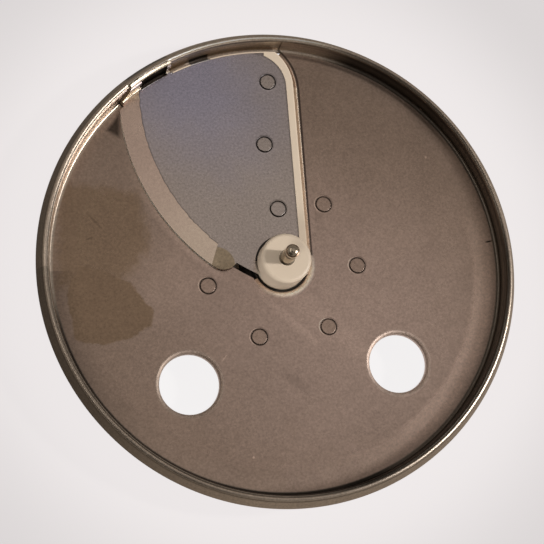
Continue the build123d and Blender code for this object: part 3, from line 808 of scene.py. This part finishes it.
def crown_line(middle, radius):
    """Rolled crown's outer line: an arc whose radius dips where a fine groove runs round it."""
    turn = np.linspace(180.0, SKIRT_SLOPE, 61)
    width = np.where(turn > GROOVE_TURN, GROOVE_INNER, GROOVE_OUTER)
    reach = radius - GROOVE_DEPTH * np.exp(-(((turn - GROOVE_TURN) / width) ** 2))
    turn = np.radians(turn)
    return np.stack([middle[0] + reach * np.cos(turn), middle[1] + reach * np.sin(turn)], axis=1)


def rim_profile(sizes):
    """Rim's section, from the floor's upper edge over the crown and the hem back to the floor's under edge.

    The skirt leaves the crown at its slope; the hem is a sheet folded back on itself.
    """
    wall, crown, sheet = (value / MM for value in (sizes.wall_radius, sizes.crown_radius, sizes.sheet))
    floor, top = sizes.floor_height / MM, sizes.rim_top / MM
    start, hem = sizes.rim_start / MM, sizes.hem_length / MM
    fillet = wall - start
    middle = np.array([wall + crown, top - crown])
    slope = radians(SKIRT_SLOPE)
    out = np.array([np.cos(slope), np.sin(slope)])
    down = np.array([np.sin(slope), -np.cos(slope)])
    knee = middle + crown * out
    length = (sizes.rim_radius / MM - sheet * (1.0 - out[0]) - knee[0]) / down[0]
    fold = knee + length * down - sheet * out
    steps = np.linspace(0.0, 1.0, 9)[1:-1, None]
    lines = [
        arc((start, floor + fillet), fillet, -90.0, 0.0, 13),
        (wall, floor + fillet) + steps * (0.0, top - crown - floor - fillet),
        crown_line(middle, crown),
        knee + steps * length * down,
        arc(fold, sheet, SKIRT_SLOPE, SKIRT_SLOPE - 180.0, 17),
        [fold - sheet * out - hem * down, fold - hem * down],
        arc(middle, crown - sheet, SKIRT_SLOPE, 180.0, 13),
        arc((start, floor + fillet), fillet + sheet, 0.0, -90.0, 9),
    ]
    return np.concatenate([np.asarray(line) for line in lines])[::-1]


def rivet_profile(sizes, top, neck, seat):
    """Rivet's half section: low crowned head, rounded edge, countersink, shank and domed tail."""
    head, shank, tail = (value / MM for value in (sizes.rivet_head, sizes.rivet_shank, sizes.rivet_tail))
    return np.concatenate([
        [(0.0, top + 0.05), (1.4, top + 0.045), (head - 0.75, top + 0.03)],
        arc((head - 0.65, top - 0.22), 0.25, 90.0, 10.0, 7),
        [(shank + 0.2, neck), (shank, neck), (shank, seat), (tail - 0.05, seat)],
        [(tail, seat - 0.08), (tail - 0.35, seat - 0.45), (tail - 1.1, seat - 0.8), (tail - 2.0, seat - 0.96)],
        [(0.0, seat - 1.0)],
    ])


class DISC_OT_plate(bpy.types.Operator):
    """Finish the pressed plate"""

    bl_idname = "disc.plate"
    bl_label = "Plate"

    def execute(self, context):
        sizes = context.scene.disc_sizes
        start = sizes.rim_start / MM
        floor = flat_part("disc_plate", start)
        angle = rim_angles(floor[0], start, sizes.floor_height / MM)
        profile = rim_profile(sizes)
        rim = turned(profile, angle)
        row = np.arange(len(angle)).reshape(-1, RIM_STEPS)
        strip = np.concatenate([row, np.roll(row[:, :1], -1, axis=0)], axis=1)
        seams = np.concatenate([strip, (strip + (len(profile) - 1) * len(angle))[:, ::-1]])
        corners = np.concatenate([floor[0], rim[0]])
        faces = [*floor[1].tolist(), *(rim[1] + len(floor[0])).tolist(), *(seams + len(floor[0])).tolist()]
        material = plate_material(GROUPS, context.scene.disc_colours)
        even_shading(piece("pressed_plate", corners, faces, material, "plate_steel", "disc_plate"))
        return {"FINISHED"}


class DISC_OT_blade(bpy.types.Operator):
    """Finish the blade and its ground edge"""

    bl_idname = "disc.blade"
    bl_label = "Blade"

    def execute(self, context):
        dress("slicing_blade", blade_material(GROUPS, context.scene.disc_colours))
        return {"FINISHED"}


class DISC_OT_carrier(bpy.types.Operator):
    """Finish the hub, the flange and the blade arm"""

    bl_idname = "disc.carrier"
    bl_label = "Hub and arm"

    def execute(self, context):
        dress("blade_carrier", plastic_material(GROUPS, context.scene.disc_colours))
        return {"FINISHED"}


class DISC_OT_rivets(bpy.types.Operator):
    """Turn the rivets of the hub and of the blade"""

    bl_idname = "disc.rivets"
    bl_label = "Rivets"

    def execute(self, context):
        sizes = context.scene.disc_sizes
        material = rivet_material(GROUPS, context.scene.disc_colours)
        around = even_turn(RIVET_SEGMENTS)
        floor, under = sizes.floor_height / MM, sizes.floor_under / MM
        places = [(*place, 0.0) for place in HUB_RIVETS]
        shape = turned(rivet_profile(sizes, floor, under, sizes.flange_under / MM), around)
        piece("hub_rivet_set", *repeated(*shape, places), material, "rivet_steel", "hub_rivets")
        top = sizes.blade_top / MM
        outer = turned(rivet_profile(sizes, top, top - 1.0, sizes.arm_under / MM), around)
        inner = turned(rivet_profile(sizes, top, top - 1.0, sizes.flange_under / MM), around)
        first = repeated(*outer, [(*place, 0.0) for place in BLADE_RIVETS[:2]])
        last = repeated(*inner, [(*place, 0.0) for place in BLADE_RIVETS[2:]])
        corners = np.concatenate([first[0], last[0]])
        faces = np.concatenate([first[1], last[1] + len(first[0])])
        piece("blade_rivet_set", corners, faces, material, "rivet_steel", "blade_rivets")
        return {"FINISHED"}


class DISC_OT_pin(bpy.types.Operator):
    """Turn the locating pin"""

    bl_idname = "disc.pin"
    bl_label = "Locating pin"

    def execute(self, context):
        sizes = context.scene.disc_sizes
        radius, root = sizes.pin_radius / MM, sizes.pin_root / MM
        low, high = (corner[2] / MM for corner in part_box("locating_pin"))
        nose, shoulder = radius - 0.3, high - PIN_SHOULDER
        profile = np.concatenate([
            [(0.0, high)],
            arc((0.3, high - nose), nose, 90.0, 0.0, 17),
            [(radius + inward, high - down) for inward, down in PIN_GROOVE],
            [(radius, shoulder + 0.05), (radius, shoulder), (root, shoulder), (root, low), (0.0, low)],
        ])
        material = pin_material(GROUPS, context.scene.disc_colours)
        piece("turned_pin", *turned(profile, even_turn(PIN_SEGMENTS)), material, "pin_steel", "locating_pin")
        return {"FINISHED"}


class DISC_OT_stage(bpy.types.Operator):
    """Set the table, the light and the camera"""

    bl_idname = "disc.stage"
    bl_label = "Stage"

    def execute(self, context):
        scene = context.scene
        scene.view_settings.view_transform = "Standard"
        self.table(scene)
        self.room(scene)
        self.lamps(scene)
        self.camera(scene)
        return {"FINISHED"}

    def table(self, scene):
        """Broad flat table."""
        mesh = bpy.data.meshes.new("table")
        side = TABLE_SIDE
        corners = [(-side, -side, 0.0), (side, -side, 0.0), (side, side, 0.0), (-side, side, 0.0)]
        mesh.from_pydata(corners, [], [(0, 1, 2, 3)])
        table = bpy.data.objects.new("table", mesh)
        scene.collection.objects.link(table)
        mesh.materials.append(self.table_material(tuple(scene.disc_colours.ground)))

    def table_material(self, ground):
        """Pale table that dims outward, dark under the disc, white under its finger holes and clear from below."""
        material = bpy.data.materials.new("pale_table")
        material.use_nodes = True
        tree = material.node_tree
        tree.nodes.clear()
        nodes = Nodes(tree)

        def stepped(centre, start, full):
            away = nodes.group(GROUPS["place"], Centre=(*centre, 0.0))["Radius"]
            return nodes.span(away, start, full)

        pale = nodes.blend(stepped(*FADE), ground, tuple(FADE_SHARE * value for value in ground))
        pale = nodes.blend(stepped(*SHADOW), pale, SHADOW_COLOUR)
        spots = nodes.most(*(stepped(*spot) for spot in SPOTS))
        pale = nodes.blend(spots, pale, SPOT_COLOUR)
        glow = nodes.add("ShaderNodeEmission")
        nodes.feed(glow.inputs["Color"], pale)
        path = nodes.add("ShaderNodeLightPath").outputs
        seen = nodes.most(
            path["Is Camera Ray"], path["Is Transmission Ray"], nodes.both(path["Is Glossy Ray"], spots)
        )
        matt = nodes.add("ShaderNodeBsdfDiffuse")
        nodes.feed(matt.inputs["Color"], nodes.blend(path["Is Camera Ray"], TABLE_MATT, pale))
        join = nodes.add("ShaderNodeMixShader")
        nodes.feed(join.inputs[0], nodes.math("MULTIPLY", seen, TABLE_GLOW))
        nodes.feed(join.inputs[1], matt.outputs[0])
        nodes.feed(join.inputs[2], glow.outputs[0])
        clear = nodes.add("ShaderNodeMixShader")
        nodes.feed(clear.inputs[0], nodes.add("ShaderNodeNewGeometry").outputs["Backfacing"])
        nodes.feed(clear.inputs[1], join.outputs[0])
        nodes.feed(clear.inputs[2], nodes.add("ShaderNodeBsdfTransparent").outputs[0])
        out = nodes.add("ShaderNodeOutputMaterial")
        nodes.feed(out.inputs["Surface"], clear.outputs[0])
        return material

    def room(self, scene):
        """Plain room: dim walls, a soft glow overhead, a window on the left, and darker on the camera's side."""
        world = bpy.data.worlds.new("room")
        scene.world = world
        world.use_nodes = True
        nodes = Nodes(world.node_tree)
        direction = nodes.add("ShaderNodeTexCoord").outputs["Generated"]
        rise = nodes.part(direction, 2)

        def near(way, start, full):
            return nodes.span(nodes.vector("DOT_PRODUCT", direction, way).outputs["Value"], start, full)

        room = nodes.blend(nodes.span(rise, 0.1, 0.8), WALL_LOW, WALL_HIGH)
        room = nodes.blend(near(*GLOW[:3]), room, GLOW[3])
        window = nodes.both(near(*WINDOW[:3]), nodes.between(rise, *WINDOW_RISE))
        room = nodes.blend(window, room, WINDOW[3])
        for way, start, full, colour in DARK_PATCHES:
            room = nodes.blend(near(way, start, full), room, colour)
        background = world.node_tree.nodes["Background"]
        nodes.feed(background.inputs["Color"], room)
        background.inputs["Strength"].default_value = 1.0

    def lamps(self, scene):
        """Small lamp from the right and a fill from the camera's side for matt light, and a broad one for shine."""
        for name, turn, rise, size, energy, gleam in LAMPS:
            data = bpy.data.lights.new(name, "AREA")
            data.shape, data.size, data.energy = "DISK", size, energy
            data.color = LAMP_COLOUR
            lamp = bpy.data.objects.new(name, data)
            scene.collection.objects.link(lamp)
            lamp.visible_glossy, lamp.visible_diffuse = gleam, not gleam
            turn, rise = radians(turn), radians(rise)
            aim = Vector((np.cos(rise) * np.cos(turn), np.cos(rise) * np.sin(turn), np.sin(rise)))
            lamp.location = aim * LAMP_DISTANCE
            lamp.rotation_euler = aim.to_track_quat("Z", "Y").to_euler()

    def camera(self, scene):
        """Camera of the photograph: place, target, upright and lens in the disc's own frame."""
        data = bpy.data.cameras.new("photo")
        camera = bpy.data.objects.new("photo", data)
        scene.collection.objects.link(camera)
        scene.camera = camera
        data.sensor_fit = "HORIZONTAL"
        data.sensor_width = SENSOR
        data.lens = LENS
        data.shift_x, data.shift_y = SHIFT_X, SHIFT_Y
        eye = Vector(EYE) * MM
        ahead = (Vector(TARGET) * MM - eye).normalized()
        right = ahead.cross(Vector(UPRIGHT)).normalized()
        up = right.cross(ahead)
        turn = Matrix((right, up, -ahead)).transposed()
        camera.matrix_world = Matrix.Translation(eye) @ turn.to_4x4()


class DISC_PT_panel(bpy.types.Panel):
    """Sizes, colours and steps of the disc"""

    bl_idname = "DISC_PT_panel"
    bl_label = "Slicing disc"
    bl_space_type = "VIEW_3D"
    bl_region_type = "UI"
    bl_category = "Disc"

    def draw(self, context):
        for group in (context.scene.disc_sizes, context.scene.disc_colours):
            for name in group.__annotations__:
                self.layout.prop(group, name)
        for step in STEPS:
            self.layout.operator(step.bl_idname)


STEPS = (DISC_OT_plate, DISC_OT_blade, DISC_OT_carrier, DISC_OT_rivets, DISC_OT_pin, DISC_OT_stage)
CLASSES = (DiscSizes, DiscColours, *STEPS, DISC_PT_panel)
GROUPS = {}


def register():
    """Register the classes and hang the settings on the scene."""
    for entry in CLASSES:
        bpy.utils.register_class(entry)
    bpy.types.Scene.disc_sizes = PointerProperty(type=DiscSizes)
    bpy.types.Scene.disc_colours = PointerProperty(type=DiscColours)


def unregister():
    """Take the settings and the classes away again."""
    del bpy.types.Scene.disc_colours
    del bpy.types.Scene.disc_sizes
    for entry in reversed(CLASSES):
        bpy.utils.unregister_class(entry)


def main():
    """Register, make the shader groups and run the steps in order."""
    register()
    GROUPS.update(place=place_group(), patch=patch_group(), ring=ring_group(), satin=satin_group())
    steps = bpy.ops.disc
    for step in (steps.plate, steps.blade, steps.carrier, steps.rivets, steps.pin, steps.stage):
        step()


if __name__ == "__main__":
    main()
